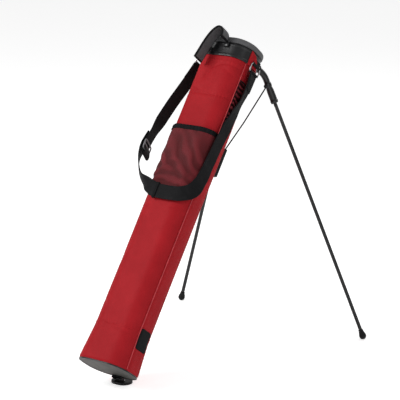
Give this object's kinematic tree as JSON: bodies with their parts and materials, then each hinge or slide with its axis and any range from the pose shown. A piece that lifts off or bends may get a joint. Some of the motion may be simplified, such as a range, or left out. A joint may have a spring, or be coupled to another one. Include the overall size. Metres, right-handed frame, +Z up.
{
  "type": "self-standing golf bag",
  "caption": "Slim oval fabric golf bag that leans on a pair of folding legs and a tilting foot plate, with a shoulder strap, grip handle and mesh pocket.",
  "frame": {"origin": "centre of the foot plate's sole, on the ground", "axes": "+Z up, +Y towards the side the bag leans to and the legs stand on, +X to the right leg; x = 0 is the plane of symmetry of bag and legs"},
  "size_m": [0.589, 0.7151, 0.7962],
  "materials": {
    "red_fabric": "woven nylon, low sheen",
    "red_piping": "corded piping",
    "liner_sheet": "thin semi-rigid sheet",
    "black_moulding": "moulded, fine grain",
    "rim_bead": "soft moulded bead",
    "grey_sole": "moulded",
    "grip_pad": "soft textured grip",
    "mesh": "open net over red fabric",
    "black_webbing": "woven webbing",
    "ring_steel": "plated wire",
    "buckle": "moulded",
    "leg_tube": "black painted tube",
    "foot_rubber": "moulded rubber",
    "steel_wire": "black coated wire",
    "steel_pin": "plain steel"
  },
  "bodies": {
    "bag": {"back_panel": "red_fabric", "base_cup": "black_moulding", "base_rim": "black_moulding", "base_sole": "grey_sole", "collar": "black_moulding", "foot_bracket": "black_moulding", "foot_pin": "steel_pin", "front_panel": "red_fabric", "handle_anchors": "black_moulding", "handle_grip": "grip_pad", "hinge_block": "black_moulding", "hinge_pins": "steel_pin", "inner_liner": "liner_sheet", "leg_keeper": "black_webbing", "mesh_pocket": "mesh", "peak_left": "red_fabric", "peak_right": "red_fabric", "pocket_binding": "black_webbing", "rim_bead": "rim_bead", "ring_left": "ring_steel", "ring_right": "ring_steel", "ring_tab_left": "black_webbing", "ring_tab_right": "black_webbing", "seam_piping": "red_piping", "side_panel_left": "red_fabric", "side_panel_right": "red_fabric", "side_pocket": "red_fabric", "strap_buckle": "buckle", "strap_keeper": "black_webbing", "strap_long": "black_webbing", "strap_short": "black_webbing", "wire_guide_left": "black_moulding", "wire_guide_right": "black_moulding"},
    "leg_right": {"leg_arm_right": "black_moulding", "leg_tube_right": "leg_tube", "leg_foot_right": "foot_rubber"},
    "leg_left": {"leg_arm_left": "black_moulding", "leg_tube_left": "leg_tube", "leg_foot_left": "foot_rubber"},
    "strut_right": {"wire_right": "steel_wire"},
    "strut_left": {"wire_left": "steel_wire"},
    "foot": {"foot_plate": "black_moulding"}
  },
  "joints": [
    {"name": "leg_right_fold", "type": "hinge", "parent": "bag", "child": "leg_right", "pos_m": [0.032, 0.49635, 0.67891], "axis": [-0.8878, 0.3704, -0.2731], "range_deg": [0, 48.2]},
    {"name": "leg_left_fold", "type": "hinge", "parent": "bag", "child": "leg_left", "pos_m": [-0.032, 0.49635, 0.67891], "axis": [-0.8878, -0.3704, 0.2731], "range_deg": [0, 48.2]},
    {"name": "strut_right_swing", "type": "hinge", "parent": "leg_right", "child": "strut_right", "pos_m": [0.05133, 0.50975, 0.63424], "axis": [-0.8878, 0.3704, -0.2731], "range_deg": [-57.3, 0]},
    {"name": "strut_left_swing", "type": "hinge", "parent": "leg_left", "child": "strut_left", "pos_m": [-0.05133, 0.50975, 0.63424], "axis": [-0.8878, -0.3704, 0.2731], "range_deg": [-57.3, 0]},
    {"name": "foot_tilt", "type": "hinge", "parent": "bag", "child": "foot", "pos_m": [0, -0.00788, 0.01015], "axis": [-1, 0, 0], "range_deg": [0, 36.5]}
  ],
  "couplings": [
    {"joint": "leg_left_fold", "follows": "leg_right_fold", "ratio": 1},
    {"joint": "strut_right_swing", "follows": "leg_right_fold", "ratio": -1.182},
    {"joint": "strut_left_swing", "follows": "leg_right_fold", "ratio": -1.182},
    {"joint": "foot_tilt", "follows": "leg_right_fold", "ratio": 0.7552}
  ]
}
